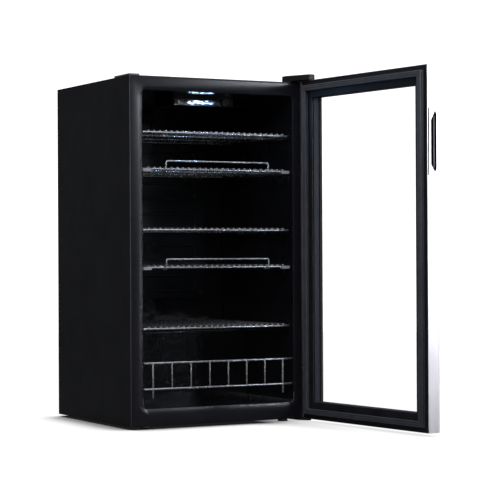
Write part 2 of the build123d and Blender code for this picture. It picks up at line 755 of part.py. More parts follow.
def shelf(z):
    """Heavy wire frame with cross wires and fine wires welded on top."""
    y0, y1 = SHELF_Y
    r = SHELF_WIRE_R
    pieces = frame_wire(z, r)
    grid_z = z + r + GRID_WIRE_R - WELD_SINK
    cross_z = grid_z - GRID_WIRE_R - CROSS_R + WELD_SINK
    for y in CROSS_Y:
        pieces.append(rod((-SHELF_X, y, cross_z), (SHELF_X, y, cross_z), CROSS_R))
    for i in range(GRID_COUNT):
        gx = (i - (GRID_COUNT - 1) / 2) * GRID_PITCH
        pieces.append(fine_rod((gx, y0 - r, grid_z), (gx, y1 + 2, grid_z), GRID_WIRE_R))
    return joined(pieces)


def shelf_guard(z):
    """Bent wire welded under the shelf's front wire that stands up in front of it."""
    low = z - SHELF_WIRE_R - GUARD_R
    bends = ((GUARD_TAIL_Y, low), (GUARD_Y, low), (GUARD_Y, z + GUARD_H))
    left = [(-GUARD_X, y, h) for y, h in bends]
    right = [(GUARD_X, y, h) for y, h in reversed(bends)]
    return bent_rod(left + right, GUARD_BEND_R, GUARD_R)


def shelf_clips(z):
    """Clips snapped from below round both front corners of the shelf's wire loop."""
    y = (SHELF_Y[0] - CLIP_REACH, SHELF_Y[0] + CLIP_REACH)
    loop = frame_wire(z, SHELF_WIRE_R + 0.05)
    found = []
    for s in (-1, 1):
        block = span((s * CLIP_X[0], s * CLIP_X[1]), y, (z - CLIP_DOWN, z + CLIP_UP))
        block = fillet(block.edges().filter_by(Axis.Y), 1.2)
        for piece in loop:
            block = block - piece
        found += list(block.solids().sort_by(SortBy.VOLUME)[-1:])
    return Compound(children=found)


# ---------------------------------------------------------------- door


def door_ring(depth, edge, r=0.0):
    """A band round the door between two distances from its edge, over a range of depth."""
    near, far = edge
    outer = window(HALF_W - near, (DOOR_Z[0] + near, DOOR_Z[1] - near))
    inner = window(HALF_W - far, (DOOR_Z[0] + far, DOOR_Z[1] - far), r)
    return slab_xz(outer - inner, DOOR_IN_Y - depth[1], DOOR_IN_Y - depth[0])


def pocket_prism(grow, x0, x1):
    """The handle pocket's slanted outline, grown all round, from x0 to x1."""
    sides = (POCKET_SHORT, POCKET_TIP, POCKET_LONG)
    low = [(DOOR_IN_Y - depth, z) for depth, z, _ in sides]
    high = [(DOOR_IN_Y - depth, z) for depth, _, z in reversed(sides)]
    face = polygon(low + high)
    if grow:
        face = offset(face, amount=grow, kind=Kind.INTERSECTION)
    return slab_yz(face, x0, x1)


def hinge_bores(r):
    """Both hinge holes along the pivot line."""
    top = disc(*PIVOT, DOOR_Z[1] - BUSH_L, DOOR_Z[1] + 5, r)
    return [top, disc(*PIVOT, DOOR_Z[0] - 5, DOOR_Z[0] + BUSH_L, r)]


def door_frame():
    """Moulded frame that carries the glazing, with a thin lip on the cabinet side."""
    lip = door_ring((0.0, LIP_T), (TRIM_T, RAIL_W), 3.0)
    body = door_ring((LIP_T, DOOR_T - TRIM_T - SKIN_GAP), (TRIM_T, GLASS_EDGE - 0.1))
    frame = joined([lip, body])
    for bore in hinge_bores(BUSH_R):
        frame = frame - bore
    return frame - pocket_prism(CUP_WALL + 0.1, -HALF_W - 1, -HALF_W + TRIM_T + POCKET_DEEP + 1.4)


def steel_trim():
    """Folded channel all round the door: edge wall, face and glass-side return."""
    wall = door_ring((0.0, DOOR_T), (0.0, TRIM_T))
    face = door_ring((DOOR_T - TRIM_T, DOOR_T), (0.0, RAIL_W))
    fold = door_ring((OUTER_GLASS_DEPTH + GLASS_T + 0.2, DOOR_T), (RAIL_W - TRIM_T, RAIL_W))
    trim = joined([wall, face, fold])
    for bore in hinge_bores(BUSH_R + 0.8):
        trim = trim - bore
    return trim - pocket_prism(CUP_WALL + 0.1, -HALF_W - 1, -HALF_W + 3)


def trim_parts():
    """The channel cut at its mitred corners."""
    g = MITRE_GAP / 2
    x0, x1 = -HALF_W - 1, HALF_W + 1
    z0, z1 = DOOR_Z[0] - 1, DOOR_Z[1] + 1
    w = RAIL_W + 5
    outlines = {
        "trim_handle_side": [(x0, z0 + g), (x0 + w, z0 + w + g), (x0 + w, z1 - w - g), (x0, z1 - g)],
        "trim_hinge_side": [(x1, z0 + g), (x1 - w, z0 + w + g), (x1 - w, z1 - w - g), (x1, z1 - g)],
        "trim_top": [(x0 + g, z1), (x0 + w + g, z1 - w), (x1 - w - g, z1 - w), (x1 - g, z1)],
        "trim_bottom": [(x0 + g, z0), (x0 + w + g, z0 + w), (x1 - w - g, z0 + w), (x1 - g, z0)],
    }
    trim = steel_trim()
    y = (DOOR_OUT_Y - 2, DOOR_IN_Y + 2)
    return {name: trim & slab_xz(polygon(points), *y) for name, points in outlines.items()}


def pane(depth):
    """One sheet of glass."""
    shape = window(HALF_W - GLASS_EDGE, (DOOR_Z[0] + GLASS_EDGE, DOOR_Z[1] - GLASS_EDGE))
    return slab_xz(shape, DOOR_IN_Y - depth - GLASS_T, DOOR_IN_Y - depth)


def gasket():
    """Magnetic seal: flat base, narrow neck and a wide nose with a slot for the magnet."""
    a, b, base = GASKET_BASE
    c, d, neck = GASKET_NECK
    nose = door_ring((-GASKET_H, -neck), GASKET_EDGE)
    nose = chamfer(nose.faces().sort_by(Axis.Y)[-1].edges(), 1.0)
    body = joined([door_ring((-base, 0.0), (a, b)), door_ring((-neck, -base), (c, d)), nose])
    slot_h = (-MAGNET_H[1] - SKIN_GAP, -MAGNET_H[0] + SKIN_GAP)
    return body - door_ring(slot_h, (MAGNET[0] - SKIN_GAP, GASKET_EDGE[1] + 1))


def handle_plate():
    """Thin plate round the handle pocket on the door's free edge."""
    y = (DOOR_IN_Y - PLATE_DEPTH[1], DOOR_IN_Y - PLATE_DEPTH[0])
    plate = span((-HALF_W - PLATE_T, -HALF_W), y, PLATE_Z)
    plate = fillet(plate.edges().filter_by(Axis.X), 1.5)
    return plate - pocket_prism(0.0, -HALF_W - 2, -HALF_W + 1)


def handle_cup():
    """Pocket moulding let into the door's free edge."""
    x0 = -HALF_W
    block = pocket_prism(CUP_WALL, x0 + 0.1, x0 + POCKET_DEEP + CUP_WALL)
    return block - pocket_prism(0.0, x0 - 1, x0 + POCKET_DEEP)


def hinge_bushes():
    """Plastic bushes for both hinge pins."""
    reach = PIN_IN_DOOR + 1.5
    bore = PIN_R + PIN_CLEARANCE
    high = disc(*PIVOT, DOOR_Z[1] - BUSH_L, DOOR_Z[1], BUSH_R)
    high = high - disc(*PIVOT, DOOR_Z[1] - reach, DOOR_Z[1] + 2, bore)
    low = disc(*PIVOT, DOOR_Z[0], DOOR_Z[0] + BUSH_L, BUSH_R)
    low = low - disc(*PIVOT, DOOR_Z[0] - 2, DOOR_Z[0] + reach, bore)
    return Compound(children=[high, low])


def door_parts():
    """Every piece of the door in its closed position."""
    spacer_depth = (LIP_T + GLASS_T, OUTER_GLASS_DEPTH)
    return {
        "door_frame": door_frame(),
        "inner_glass": pane(LIP_T),
        "outer_glass": pane(OUTER_GLASS_DEPTH),
        "glass_spacer": door_ring(spacer_depth, (GLASS_EDGE + 1, GLASS_EDGE + 1 + SPACER_W)),
        "gasket": gasket(),
        "gasket_magnet": door_ring((-MAGNET_H[1], -MAGNET_H[0]), MAGNET),
        "handle_plate": handle_plate(),
        "handle_cup": handle_cup(),
        "hinge_bushes": hinge_bushes(),
        **trim_parts(),
    }


FIXED = (
    outer_shell, base_pan, back_panel, bay_panel, foam, liner, front_frame, hinge_hole_cap,
    hinge_bracket_top, hinge_cover, hinge_bracket_bottom, screws, bottle_guard, guard_sockets,
    evaporator, evaporator_standoffs, control_box, lamp_lens, led_board, thermostat,
    thermostat_knob, lamp_switch, drain_tube, drip_tray, compressor, compressor_mounts,
    relay_box, condenser, condenser_clips, filter_drier, refrigerant_lines, cable_gland,
    rear_feet, foot_sleeves,
)

os.makedirs("parts", exist_ok=True)
for make in FIXED:
    write(make.__name__, make())
for side_name, side_sign in (("left", -1), ("right", 1)):
    write(f"foot_stud_{side_name}", foot_stud(side_sign))
    write(f"foot_pad_{side_name}", foot_pad(side_sign))
for number, level in enumerate(SHELF_Z, 1):
    write(f"shelf_{number}", shelf(level))
    if number in (2, 4):
        write(f"shelf_{number}_guard", shelf_guard(level))
        write(f"shelf_{number}_clips", shelf_clips(level))
for piece_name, piece in door_parts().items():
    write(piece_name, opened(piece))
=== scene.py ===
import math

import bmesh
import bpy
from mathutils import Matrix, Vector


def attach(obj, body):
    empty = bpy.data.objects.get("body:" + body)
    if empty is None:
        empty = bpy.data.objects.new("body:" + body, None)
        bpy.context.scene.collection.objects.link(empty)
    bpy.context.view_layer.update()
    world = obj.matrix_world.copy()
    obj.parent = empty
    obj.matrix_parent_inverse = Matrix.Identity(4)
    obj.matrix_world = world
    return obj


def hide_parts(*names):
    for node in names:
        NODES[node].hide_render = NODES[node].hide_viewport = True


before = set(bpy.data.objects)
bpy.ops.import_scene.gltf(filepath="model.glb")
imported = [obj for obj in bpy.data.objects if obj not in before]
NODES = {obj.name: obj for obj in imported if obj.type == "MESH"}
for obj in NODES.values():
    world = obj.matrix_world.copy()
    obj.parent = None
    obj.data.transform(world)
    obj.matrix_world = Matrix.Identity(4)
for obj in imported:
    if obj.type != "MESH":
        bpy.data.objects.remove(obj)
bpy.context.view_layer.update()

MM = 0.001

# Sizes shared with the CAD model are in millimetres. Cabinet front
HALF_W = 240.0
FRONT_Y = -220.0
OPEN_X = 206.0
OPEN_Z = 47.0
OPEN_R = 11.0
BEVEL_DEPTH = 2.5
HEM_Z = (9.0, 838.0)
HEM_R = 0.8
LIP_R = 0.7
LIP_RISE = 26.0

# Door, drawn closed, its pivot line and the handle plate on its free edge
DOOR_Z = (8.0, 842.5)
DOOR_IN_Y = -230.7
DOOR_ANGLE = math.radians(95.7)
PIVOT = Vector((233.4, -240.3, 0.0))
PLATE_Z = (592.0, 744.0)
PLATE_DEPTH = (5.0, 32.0)

# Shelves
SHELF_Z = (707.0, 619.0, 473.5, 383.5, 237.0)
SHELF_X = 201.5
SHELF_Y = (-205.5, 150.0)
SHELF_BEND = 8.0
SHELF_R = 2.5
CROSS_Y = (-80.0, 40.0)
CROSS_R = 2.0
CROSS_UP = 0.5
GRID_COUNT = 25
GRID_PITCH = 15.3
GRID_R = 1.6
GRID_UP = 3.8
GRID_PAST = (2.4, 1.9)
# Length of each grid wire's front end that takes the glint copy of the chrome
GLINT_END = 5.0

# Bent guards on two of the shelves
GUARDED = (2, 4)
GUARD_X = 140.0
GUARD_Y = -210.3
GUARD_TAIL_Y = -190.0
GUARD_H = 19.8
GUARD_DROP = 4.5
GUARD_BEND = 5.0
GUARD_R = 2.0

# Bottle guard
RAIL_X = 205.8
RAIL_Y = -212.0
RAIL_Z = (93.8, 155.6)
RAIL_R = 2.5
POST_COUNT = 8
POST_PITCH = 50.8
POST_R = 1.8
POST_LEG = 22.0

# Places a point of the closed door where the open rest pose has it
OPEN_DOOR = (
    Matrix.Translation(PIVOT)
    @ Matrix.Rotation(DOOR_ANGLE, 4, "Z")
    @ Matrix.Translation(-PIVOT)
)


# ------------------------------------------------------------ node helpers


class Graph:
    """A material's node tree with short calls for the usual nodes."""

    def __init__(self, name):
        self.mat = bpy.data.materials.new(name)
        self.mat.use_nodes = True
        self.tree = self.mat.node_tree
        self.tree.nodes.clear()
        self.out = self.add("ShaderNodeOutputMaterial")
        self.coord = self.add("ShaderNodeTexCoord").outputs["Object"]

    def add(self, kind, **settings):
        node = self.tree.nodes.new(kind)
        for key, value in settings.items():
            setattr(node, key, value)
        return node

    def link(self, source, target):
        self.tree.links.new(source, target)

    def mapped(self, scale):
        """Object coordinates, scaled along each axis."""
        node = self.add("ShaderNodeMapping")
        node.inputs["Scale"].default_value = scale
        self.link(self.coord, node.inputs["Vector"])
        return node.outputs["Vector"]

    def noise(self, scale, detail=3.0, rough=0.5, stretch=None):
        node = self.add("ShaderNodeTexNoise")
        node.inputs["Scale"].default_value = scale
        node.inputs["Detail"].default_value = detail
        node.inputs["Roughness"].default_value = rough
        self.link(self.mapped(stretch) if stretch else self.coord, node.inputs["Vector"])
        return node.outputs["Fac"]

    def ramp(self, value, low, high, start=0.3, end=0.7):
        """Maps a texture value onto the range low to high."""
        node = self.add("ShaderNodeMapRange")
        node.inputs["From Min"].default_value = start
        node.inputs["From Max"].default_value = end
        node.inputs["To Min"].default_value = low
        node.inputs["To Max"].default_value = high
        self.link(value, node.inputs["Value"])
        return node.outputs["Result"]

    def tint(self, value, dark, light, start=0.3, end=0.7):
        """Maps a texture value onto two colours."""
        node = self.add("ShaderNodeValToRGB")
        node.color_ramp.elements[0].position = start
        node.color_ramp.elements[0].color = (*dark, 1)
        node.color_ramp.elements[1].position = end
        node.color_ramp.elements[1].color = (*light, 1)
        self.link(value, node.inputs["Fac"])
        return node.outputs["Color"]

    def math(self, operation, a, b=None):
        node = self.add("ShaderNodeMath", operation=operation)
        for socket, value in zip(node.inputs, (a, b)):
            if value is None:
                continue
            if isinstance(value, (int, float)):
                socket.default_value = value
            else:
                self.link(value, socket)
        return node.outputs["Value"]

    def bump(self, height, distance, strength=1.0, after=None):
        node = self.add("ShaderNodeBump")
        node.inputs["Strength"].default_value = strength
        node.inputs["Distance"].default_value = distance
        self.link(height, node.inputs["Height"])
        if after is not None:
            self.link(after, node.inputs["Normal"])
        return node.outputs["Normal"]

    def principled(self, colour=None, rough=None, normal=None, **sockets):
        node = self.add("ShaderNodeBsdfPrincipled")
        for value, name in ((colour, "Base Color"), (rough, "Roughness"), (normal, "Normal")):
            if value is None:
                continue
            if isinstance(value, tuple):
                node.inputs[name].default_value = (*value, 1)
            elif isinstance(value, (int, float)):
                node.inputs[name].default_value = value
            else:
                self.link(value, node.inputs[name])
        for key, value in sockets.items():
            node.inputs[key.replace("_", " ")].default_value = value
        return node.outputs["BSDF"]

    def done(self, shader):
        self.link(shader, self.out.inputs["Surface"])
        return self.mat


# ------------------------------------------------------------ materials


def painted_steel(name, dark, light, rough, peel=0.000006):
    """Sprayed sheet steel: faint orange peel and uneven sheen."""
    g = Graph(name)
    colour = g.tint(g.noise(9.0, 4.0), dark, light)
    smear = g.ramp(g.noise(14.0, 5.0, 0.6), rough[0], rough[1])
    fine = g.bump(g.noise(900.0, 2.0), peel)
    normal = g.bump(g.noise(5.0, 1.0), 0.0004, 1.0, fine)
    return g.done(g.principled(colour, smear, normal, Specular_IOR_Level=0.35))


def moulded_plastic(name, dark, light, rough, grain=700.0, depth=0.000008, spec=0.4):
    """Injection moulded plastic with a fine even grain."""
    g = Graph(name)
    colour = g.tint(g.noise(30.0, 3.0), dark, light)
    smear = g.ramp(g.noise(60.0, 4.0), rough[0], rough[1])
    normal = g.bump(g.noise(grain, 2.0, 0.6), depth)
    return g.done(g.principled(colour, smear, normal, Specular_IOR_Level=spec))


def gloss_liner():
    """Vacuum formed black sheet: deep gloss with long soft waves from forming."""
    g = Graph("liner_gloss_black")
    colour = g.tint(g.noise(6.0, 3.0), (0.004, 0.004, 0.005), (0.009, 0.009, 0.011))
    smear = g.ramp(g.noise(25.0, 5.0, 0.6), 0.08, 0.2)
    waves = g.bump(g.noise(26.0, 2.0, 0.45, (1.0, 2.6, 1.0)), 0.0022)
    normal = g.bump(g.noise(420.0, 2.0), 0.000008, 1.0, waves)
    return g.done(g.principled(colour, smear, normal, Specular_IOR_Level=0.5))


def brushed_steel(name, along, bright=1.0, base_rough=0.27):
    """Stainless sheet brushed along one axis, with faint hand smears."""
    stretch = [900.0, 900.0, 900.0]
    stretch["XYZ".index(along)] = 5.0
    g = Graph(name)
    hair = g.noise(1.0, 6.0, 0.7, stretch)
    coarse = [v * 0.22 for v in stretch]
    band = g.noise(1.0, 3.0, 0.6, coarse)
    both = g.math("ADD", g.math("MULTIPLY", hair, 0.6), g.math("MULTIPLY", band, 0.4))
    dark = tuple(v * bright for v in (0.58, 0.575, 0.60))
    light = tuple(v * bright for v in (0.70, 0.695, 0.715))
    colour = g.tint(both, dark, light, 0.35, 0.65)
    streak = g.ramp(both, base_rough, base_rough + 0.14, 0.35, 0.65)
    smears = g.ramp(g.noise(11.0, 5.0, 0.65), 0.0, 0.04, 0.45, 0.7)
    rough = g.math("ADD", streak, smears)
    normal = g.bump(both, 0.00001, 0.5)
    return g.done(g.principled(colour, rough, normal, Metallic=1.0))


def chrome_wire(name, metallic):
    """Bright plated wire with small dull patches."""
    g = Graph(name)
    colour = g.tint(g.noise(120.0, 3.0), (0.40, 0.40, 0.42), (0.56, 0.56, 0.58))
    rough = g.ramp(g.noise(240.0, 4.0), 0.14, 0.3)
    normal = g.bump(g.noise(1500.0, 2.0), 0.00001)
    return g.done(g.principled(colour, rough, normal, Metallic=metallic))


def pane_glass(name, tint):
    """Clear float glass, plainly see-through to lamp light and to what its neighbours reflect."""
    g = Graph(name)
    rough = g.ramp(g.noise(7.0, 6.0, 0.7), 0.0, 0.03, 0.5, 0.8)
    glass = g.principled(tint, rough, None, Transmission_Weight=1.0, IOR=1.13)
    clear = g.add("ShaderNodeBsdfTransparent")
    clear.inputs["Color"].default_value = (0.93, 0.95, 0.95, 1)
    path = g.add("ShaderNodeLightPath")
    unseen = g.math("MAXIMUM", path.outputs["Is Shadow Ray"], path.outputs["Is Reflection Ray"])
    mix = g.add("ShaderNodeMixShader")
    g.link(unseen, mix.inputs["Fac"])
    g.link(glass, mix.inputs[1])
    g.link(clear.outputs["BSDF"], mix.inputs[2])
    return g.done(mix.outputs["Shader"])


def gasket_vinyl():
    """Soft extruded vinyl: blue-grey sheen, draw lines and a little dust."""
    g = Graph("gasket_vinyl")
    colour = g.tint(g.noise(35.0, 5.0, 0.6), (0.041, 0.0415, 0.052), (0.070, 0.071, 0.087))
    rough = g.ramp(g.noise(90.0, 4.0), 0.3, 0.5)
    normal = g.bump(g.noise(600.0, 3.0), 0.00004)
    return g.done(
        g.principled(colour, rough, normal, Sheen_Weight=0.15, Sheen_Roughness=0.4)
    )


def spacer_bar():
    """Dark warm-edge glazing spacer with its rows of tiny breather holes."""
    g = Graph("glazing_spacer")
    split = g.add("ShaderNodeSeparateXYZ")
    g.link(g.coord, split.inputs["Vector"])
    hole_pitch = 0.004
    wave = g.math("SINE", g.math("MULTIPLY", split.outputs["Z"], 2 * math.pi / hole_pitch))
    run = g.math("SINE", g.math("MULTIPLY", split.outputs["Y"], 2 * math.pi / hole_pitch))
    dots = g.ramp(g.math("ADD", wave, run), 0.0, 1.0, 0.9, 1.6)
    colour = g.tint(dots, (0.034, 0.035, 0.050), (0.016, 0.0165, 0.024), 0.2, 0.9)
    rough = g.ramp(g.noise(150.0, 3.0), 0.35, 0.5)
    normal = g.bump(dots, 0.0001, -0.5)
    return g.done(g.principled(colour, rough, normal, Specular_IOR_Level=0.15))


def rubber(name, dark, light):
    """Matt moulded rubber with bloom."""
    g = Graph(name)
    colour = g.tint(g.noise(80.0, 5.0, 0.65), dark, light)
    rough = g.ramp(g.noise(120.0, 4.0), 0.6, 0.85)
    normal = g.bump(g.noise(1300.0, 3.0), 0.00004)
    return g.done(g.principled(colour, rough, normal))


def bare_copper():
    """Drawn copper tube with brown heat tarnish."""
    g = Graph("copper_tube")
    tarnish = g.noise(28.0, 6.0, 0.65)
    colour = g.tint(tarnish, (0.28, 0.12, 0.07), (0.74, 0.38, 0.24), 0.35, 0.65)
    rough = g.ramp(tarnish, 0.5, 0.24)
    normal = g.bump(g.noise(700.0, 2.0), 0.00002)
    return g.done(g.principled(colour, rough, normal, Metallic=1.0))


def zinc_steel(name, dark, light):
    """Zinc plated steel with a mottled bloom."""
    g = Graph(name)
    cells = g.add("ShaderNodeTexVoronoi")
    cells.inputs["Scale"].default_value = 160.0
    g.link(g.coord, cells.inputs["Vector"])
    colour = g.tint(cells.outputs["Distance"], dark, light, 0.1, 0.8)
    rough = g.ramp(g.noise(70.0, 4.0), 0.28, 0.48)
    normal = g.bump(g.noise(500.0, 2.0), 0.00002)
    return g.done(g.principled(colour, rough, normal, Metallic=1.0))


def rigid_foam():
    """Pale blown foam with small closed cells."""
    g = Graph("rigid_foam")
    colour = g.tint(g.noise(40.0, 5.0), (0.62, 0.52, 0.3), (0.8, 0.7, 0.45))
    cells = g.add("ShaderNodeTexVoronoi")
    cells.inputs["Scale"].default_value = 900.0
    g.link(g.coord, cells.inputs["Vector"])
    return g.done(g.principled(colour, 0.9, g.bump(cells.outputs["Distance"], 0.0002)))


def lamp_diffuser():
    """Rippled lens over cold white lamps: white cores that break up into blue."""
    g = Graph("lamp_diffuser")
    split = g.add("ShaderNodeSeparateXYZ")
    g.link(g.coord, split.inputs["Vector"])
    first_lamp, lamp_pitch = -0.034, 0.0122
    along = g.math("ADD", split.outputs["X"], -first_lamp)
    step = g.math("MULTIPLY", along, 2 * math.pi / lamp_pitch)
    spots = g.ramp(g.math("COSINE", step), 0.0, 0.18, -1.0, 1.0)
    ripple = g.noise(1.0, 4.0, 0.6, (70.0, 70.0, 260.0))
    off_centre = g.math("ABSOLUTE", g.math("ADD", split.outputs["X"], 0.004))
    middle = g.ramp(off_centre, 0.22, -0.2, 0.012, 0.042)
    level = g.math("ADD", g.math("ADD", g.ramp(ripple, -0.25, 0.95), spots), middle)
    glow = g.add("ShaderNodeValToRGB")
    stops = glow.color_ramp.elements
    stops[0].position, stops[0].color = 0.36, (0.0, 0.002, 0.008, 1)
    stops[1].position, stops[1].color = 0.80, (1.0, 1.0, 1.0, 1)
    blue = stops.new(0.56)
    blue.color = (0.05, 0.16, 0.42, 1)
    g.link(level, glow.inputs["Fac"])
    body = g.add("ShaderNodeBsdfPrincipled")
    body.inputs["Base Color"].default_value = (0.05, 0.06, 0.08, 1)
    body.inputs["Roughness"].default_value = 0.15
    g.link(g.bump(ripple, 0.0008), body.inputs["Normal"])
    g.link(glow.outputs["Color"], body.inputs["Emission Color"])
    g.link(g.ramp(level, 0.4, 2.2, 0.4, 0.9), body.inputs["Emission Strength"])
    return g.done(body.outputs["BSDF"])


def circuit_board():
    """Green lacquer over faint tracks."""
    g = Graph("lamp_board")
    bricks = g.add("ShaderNodeTexBrick")
    bricks.inputs["Scale"].default_value = 220.0
    bricks.inputs["Color1"].default_value = (0.01, 0.09, 0.03, 1)
    bricks.inputs["Color2"].default_value = (0.015, 0.12, 0.04, 1)
    bricks.inputs["Mortar"].default_value = (0.03, 0.2, 0.07, 1)
    g.link(g.coord, bricks.inputs["Vector"])
    return g.done(g.principled(bricks.outputs["Color"], g.ramp(g.noise(90.0), 0.25, 0.4)))


def studio_floor():
    """White sweep with a soft contact shadow, for the eye and through glass; dark otherwise."""
    g = Graph("studio_paper")
    split = g.add("ShaderNodeSeparateXYZ")
    g.link(g.coord, split.inputs["Vector"])
    occluded = g.add("ShaderNodeAmbientOcclusion", samples=12)
    occluded.inputs["Distance"].default_value = 0.18
    open_sky = occluded.outputs["AO"]
    strong = g.ramp(open_sky, 0.012, 1.0, 0.44, 0.86)
    weak = g.ramp(open_sky, 0.66, 1.0, 0.05, 0.70)
    left_of_door = g.ramp(split.outputs["X"], 1.0, 0.0, 0.12, 0.24)
    near_front = g.ramp(split.outputs["Y"], 0.0, 1.0, -0.62, -0.40)
    by_cabinet = g.math("MULTIPLY", left_of_door, near_front)
    extra = g.math("MULTIPLY", by_cabinet, g.math("SUBTRACT", strong, weak))
    shade = g.math("SUBTRACT", 1.0, g.math("ADD", weak, extra))
    beside = g.ramp(split.outputs["X"], 0.0, 1.0, -0.36, -0.27)
    level = g.math("SUBTRACT", 1.0, g.math("MULTIPLY", beside, shade))
    paper = g.ramp(g.noise(2.0, 2.0), 1.05, 1.09)
    white = g.add("ShaderNodeEmission")
    g.link(g.math("MULTIPLY", level, paper), white.inputs["Strength"])
    dark = g.principled((0.06, 0.06, 0.06), 0.9, g.bump(g.noise(300.0, 3.0), 0.0001))
    path = g.add("ShaderNodeLightPath")
    seen = g.math("MAXIMUM", path.outputs["Is Camera Ray"], path.outputs["Is Transmission Ray"])
    mix = g.add("ShaderNodeMixShader")
    g.link(seen, mix.inputs["Fac"])
    g.link(dark, mix.inputs[1])
    g.link(white.outputs["Emission"], mix.inputs[2])
    return g.done(mix.outputs["Shader"])


SHELL = painted_steel("cabinet_black", (0.006, 0.006, 0.007), (0.010, 0.010, 0.012), (0.34, 0.46))
PANEL = painted_steel("rear_black", (0.010, 0.010, 0.011), (0.018, 0.018, 0.019), (0.4, 0.55))
BAY = zinc_steel("bay_zinc", (0.34, 0.35, 0.36), (0.52, 0.53, 0.55))
FRAME = moulded_plastic(
    "frame_satin_black",
    (0.0088, 0.0085, 0.0118),
    (0.0102, 0.0098, 0.0136),
    (0.215, 0.235),
    500.0,
    0.0000012,
    0.34,
)
BLACK = moulded_plastic("satin_black", (0.008, 0.008, 0.009), (0.015, 0.015, 0.017), (0.34, 0.5))
# Light grey for the rolled hem and the opening lip: painted highlight lines along these edges
EDGE_GLINT_GREY = moulded_plastic("edge_painted_highlight_grey", (0.075, 0.075, 0.08), (0.11, 0.11, 0.117), (0.25, 0.4))
LINER = gloss_liner()
CUP = moulded_plastic(
    "cup_gloss_black",
    (0.003, 0.003, 0.004),
    (0.006, 0.006, 0.007),
    (0.05, 0.14),
    300.0,
    0.000004,
    0.6,
)
# Near-black matt strip round the handle plate: painted shade in the gap at the plate's edges
GAP_SHADE_BLACK = moulded_plastic(
    "handle_painted_gap_shade",
    (0.002, 0.002, 0.003),
    (0.004, 0.004, 0.005),
    (0.6, 0.8),
    spec=0.02,
)
# Light grey of the pocket's rib: a painted highlight stripe on the pocket's outer wall
RIB_GLINT_GREY = moulded_plastic("grip_rib_painted_highlight", (0.40, 0.40, 0.41), (0.50, 0.50, 0.51), (0.3, 0.45))
GREY = moulded_plastic("clip_grey", (0.3, 0.3, 0.31), (0.42, 0.42, 0.44), (0.35, 0.5))
CAP = moulded_plastic("cap_grey", (0.10, 0.10, 0.11), (0.16, 0.16, 0.17), (0.35, 0.5))
PALE = moulded_plastic("pale_plastic", (0.55, 0.55, 0.53), (0.68, 0.68, 0.66), (0.4, 0.6))
COIL = painted_steel("coil_black", (0.010, 0.010, 0.010), (0.020, 0.020, 0.021), (0.35, 0.55))
POT = painted_steel("pot_black", (0.008, 0.008, 0.009), (0.016, 0.016, 0.017), (0.22, 0.4), 0.00008)
COLD = painted_steel(
    "cold_plate_black", (0.006, 0.007, 0.009), (0.012, 0.014, 0.017), (0.14, 0.28), 0.00005
)
STEEL_Z = brushed_steel("steel_brushed_upright", "Z")
STEEL_Y = brushed_steel("steel_brushed_level", "Y")
PLATE = brushed_steel("handle_plate_satin", "Z", 1.08, 0.26)
CHROME = chrome_wire("chrome_wire", 0.82)
# Less metallic copy of the chrome for the grid wires' front ends: painted glints where they cross
# the front rail
WIRE_END_GLINT = chrome_wire("chrome_wire_end_painted_glint", 0.25)
ZINC = zinc_steel("zinc_fixings", (0.45, 0.45, 0.46), (0.66, 0.66, 0.67))
COPPER = bare_copper()
RUBBER = rubber("black_rubber", (0.012, 0.012, 0.012), (0.026, 0.026, 0.027))
MAGNET = rubber("magnet_strip", (0.02, 0.017, 0.016), (0.035, 0.03, 0.028))
GASKET = gasket_vinyl()
SPACER = spacer_bar()
GLASS_IN = pane_glass("inner_pane_glass", (0.995, 1.0, 0.997))
GLASS_OUT = pane_glass("outer_pane_glass", (0.995, 1.0, 0.997))

# CAD node: material, edge rounding in millimetres
FINISH = {
    "outer_shell": (SHELL, 0.9),
    "base_pan": (PANEL, 0.3),
    "back_panel": (PANEL, 0.3),
    "bay_panel": (BAY, 0.3),
    "foam": (rigid_foam(), 0.0),
    "liner": (LINER, 0.7),
    "front_frame": (FRAME, 0.8),
    "hinge_hole_cap": (CAP, 0.5),
    "hinge_bracket_top": (PANEL, 0.4),
    "hinge_cover": (BLACK, 1.0),
    "hinge_bracket_bottom": (PANEL, 0.4),
    "screws": (ZINC, 0.15),
    "guard_sockets": (BLACK, 0.4),
    "evaporator": (COLD, 0.3),
    "evaporator_standoffs": (BLACK, 0.2),
    "control_box": (LINER, 0.6),
    "lamp_lens": (lamp_diffuser(), 0.3),
    "led_board": (circuit_board(), 0.1),
    "thermostat": (PALE, 0.4),
    "thermostat_knob": (BLACK, 0.25),
    "lamp_switch": (BLACK, 0.4),
    "drain_tube": (PALE, 0.3),
    "drip_tray": (BLACK, 0.5),
    "compressor": (POT, 0.8),
    "compressor_mounts": (RUBBER, 0.5),
    "relay_box": (BLACK, 0.6),
    "condenser": (COIL, 0.0),
    "condenser_clips": (PALE, 0.4),
    "filter_drier": (COPPER, 0.4),
    "refrigerant_lines": (COPPER, 0.1),
    "cable_gland": (RUBBER, 0.3),
    "rear_feet": (RUBBER, 0.5),
    "foot_sleeves": (PALE, 0.3),
    "door_frame": (BLACK, 0.5),
    "trim_handle_side": (STEEL_Z, 0.35),
    "trim_hinge_side": (STEEL_Z, 0.35),
    "trim_top": (STEEL_Y, 0.35),
    "trim_bottom": (STEEL_Y, 0.35),
    "inner_glass": (GLASS_IN, 0.0),
    "outer_glass": (GLASS_OUT, 0.0),
    "glass_spacer": (SPACER, 0.2),
    "gasket_magnet": (MAGNET, 0.0),
    "handle_plate": (PLATE, 0.3),
    "handle_cup": (CUP, 0.3),
    "hinge_bushes": (PALE, 0.3),
    "foot_pad_left": (RUBBER, 0.4),
    "foot_pad_right": (RUBBER, 0.4),
    "foot_stud_left": (ZINC, 0.3),
    "foot_stud_right": (ZINC, 0.3),
    "shelf_2_clips": (GREY, 0.4),
    "shelf_4_clips": (GREY, 0.4),
}


# Edge shading of the CAD nodes: weld reach in metres, corner angle that counts as an edge
WELD_REACH = 1e-6
EDGE_ANGLE = math.radians(38)
FACE_WEIGHT = 60


